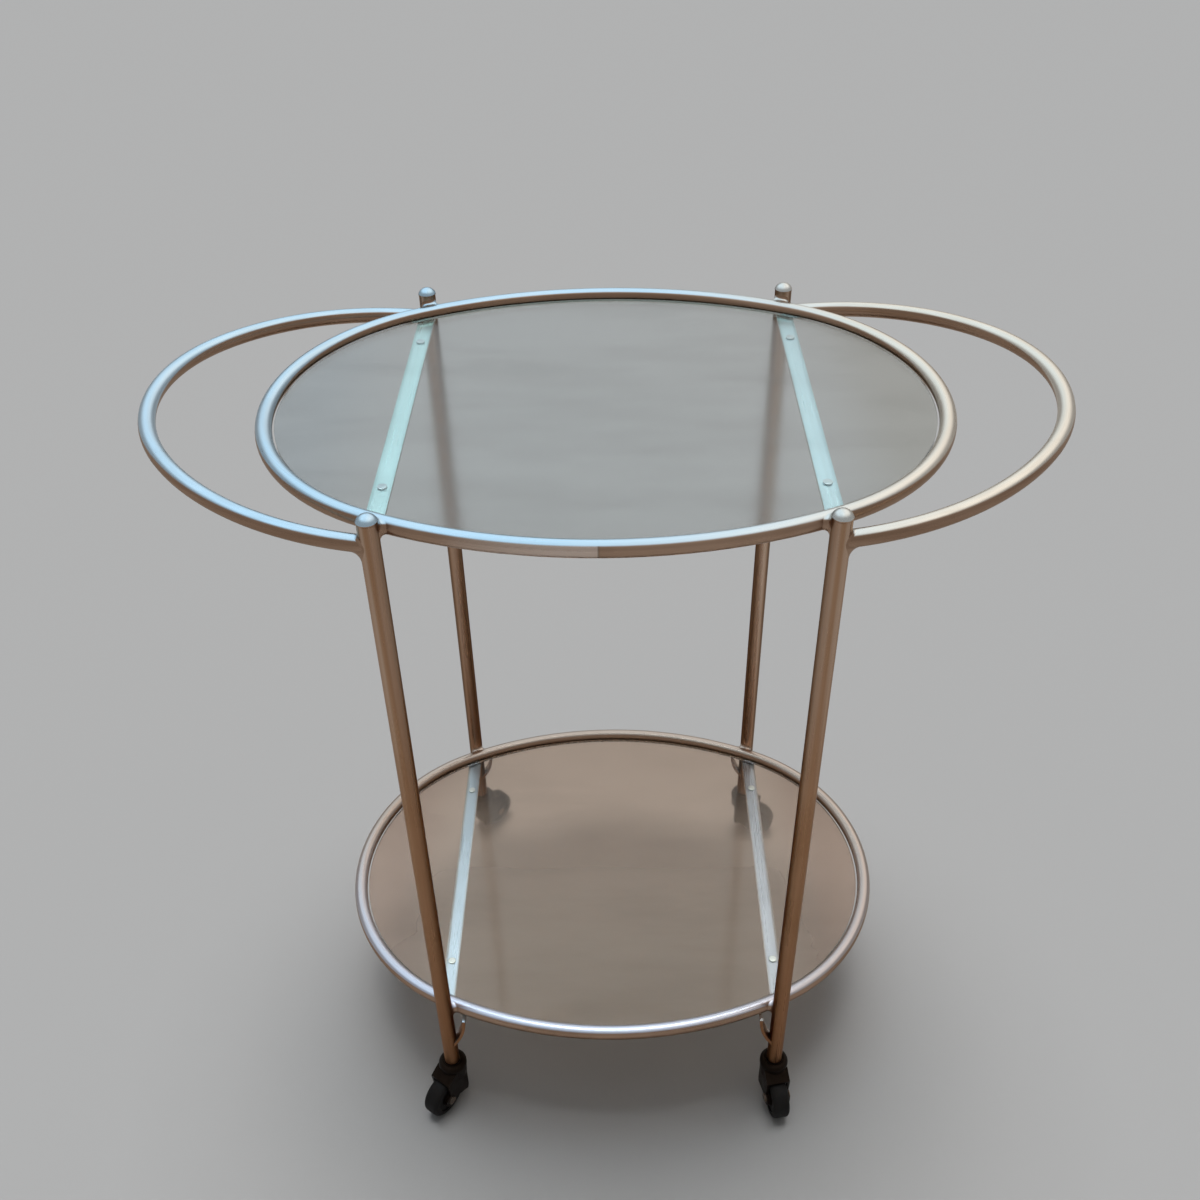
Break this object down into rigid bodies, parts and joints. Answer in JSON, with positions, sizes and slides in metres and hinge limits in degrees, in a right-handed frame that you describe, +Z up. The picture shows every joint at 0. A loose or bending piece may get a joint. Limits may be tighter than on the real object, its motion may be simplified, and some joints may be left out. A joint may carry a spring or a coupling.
{
  "type": "bar cart",
  "caption": "Oval bar cart of bent metal tube with an upper and a lower glass shelf, loop handles at both ends and swivel casters under straight legs.",
  "frame": {"origin": "on the floor, under the middle of the shelves", "axes": "+Z up; +X along the shelves' length towards the right handle; +Y towards the cart's rear legs"},
  "size_m": [0.7792, 0.4634, 0.7743],
  "materials": {
    "frame_metal": "satin",
    "shelf_glass": "polished",
    "clear_pads": "translucent",
    "caster_plastic": "satin",
    "wheel_rubber": "matte",
    "pin_steel": "satin"
  },
  "bodies": {
    "frame": {"upper_ring": "frame_metal", "lower_ring": "frame_metal", "handle_left": "frame_metal", "handle_right": "frame_metal", "strap_upper_left": "frame_metal", "strap_upper_right": "frame_metal", "strap_lower_left": "frame_metal", "strap_lower_right": "frame_metal", "pads_upper": "clear_pads", "pads_lower": "clear_pads", "leg_front_left": "frame_metal", "cap_front_left": "frame_metal", "brace_front_left": "frame_metal", "socket_front_left": "caster_plastic", "leg_front_right": "frame_metal", "cap_front_right": "frame_metal", "brace_front_right": "frame_metal", "socket_front_right": "caster_plastic", "leg_rear_left": "frame_metal", "cap_rear_left": "frame_metal", "brace_rear_left": "frame_metal", "socket_rear_left": "caster_plastic", "leg_rear_right": "frame_metal", "cap_rear_right": "frame_metal", "brace_rear_right": "frame_metal", "socket_rear_right": "caster_plastic"},
    "upper_shelf": {"glass_upper": "shelf_glass"},
    "lower_shelf": {"glass_lower": "shelf_glass"},
    "swivel_front_left": {"fork_front_left": "caster_plastic", "stem_front_left": "pin_steel", "axle_front_left": "pin_steel"},
    "roller_front_left": {"hub_front_left": "caster_plastic", "wheel_front_left": "wheel_rubber"},
    "swivel_front_right": {"fork_front_right": "caster_plastic", "stem_front_right": "pin_steel", "axle_front_right": "pin_steel"},
    "roller_front_right": {"hub_front_right": "caster_plastic", "wheel_front_right": "wheel_rubber"},
    "swivel_rear_left": {"fork_rear_left": "caster_plastic", "stem_rear_left": "pin_steel", "axle_rear_left": "pin_steel"},
    "roller_rear_left": {"hub_rear_left": "caster_plastic", "wheel_rear_left": "wheel_rubber"},
    "swivel_rear_right": {"fork_rear_right": "caster_plastic", "stem_rear_right": "pin_steel", "axle_rear_right": "pin_steel"},
    "roller_rear_right": {"hub_rear_right": "caster_plastic", "wheel_rear_right": "wheel_rubber"}
  },
  "joints": [
    {"name": "lift_upper_glass", "type": "slide", "parent": "frame", "child": "upper_shelf", "axis": [0, 0, 1], "range_m": [0, 0.04]},
    {"name": "lift_lower_glass", "type": "slide", "parent": "frame", "child": "lower_shelf", "axis": [0, 0, 1], "range_m": [0, 0.04]},
    {"name": "swivel_front_left", "type": "hinge", "parent": "frame", "child": "swivel_front_left", "pos_m": [-0.173, -0.19291, 0.064], "axis": [0, 0, 1], "continuous": true},
    {"name": "roll_front_left", "type": "hinge", "parent": "swivel_front_left", "child": "roller_front_left", "pos_m": [-0.18476, -0.20909, 0.0225], "axis": [0.809, -0.5878, 0], "continuous": true},
    {"name": "swivel_front_right", "type": "hinge", "parent": "frame", "child": "swivel_front_right", "pos_m": [0.173, -0.19291, 0.064], "axis": [0, 0, 1], "continuous": true},
    {"name": "roll_front_right", "type": "hinge", "parent": "swivel_front_right", "child": "roller_front_right", "pos_m": [0.17647, -0.2126, 0.0225], "axis": [0.9848, 0.1736, 0], "continuous": true},
    {"name": "swivel_rear_left", "type": "hinge", "parent": "frame", "child": "swivel_rear_left", "pos_m": [-0.173, 0.19291, 0.064], "axis": [0, 0, 1], "continuous": true},
    {"name": "roll_rear_left", "type": "hinge", "parent": "swivel_rear_left", "child": "roller_rear_left", "pos_m": [-0.15886, 0.20705, 0.0225], "axis": [-0.7071, 0.7071, 0], "continuous": true},
    {"name": "swivel_rear_right", "type": "hinge", "parent": "frame", "child": "swivel_rear_right", "pos_m": [0.173, 0.19291, 0.064], "axis": [0, 0, 1], "continuous": true},
    {"name": "roll_rear_right", "type": "hinge", "parent": "swivel_rear_right", "child": "roller_rear_right", "pos_m": [0.19179, 0.18607, 0.0225], "axis": [0.342, 0.9397, 0], "continuous": true}
  ]
}
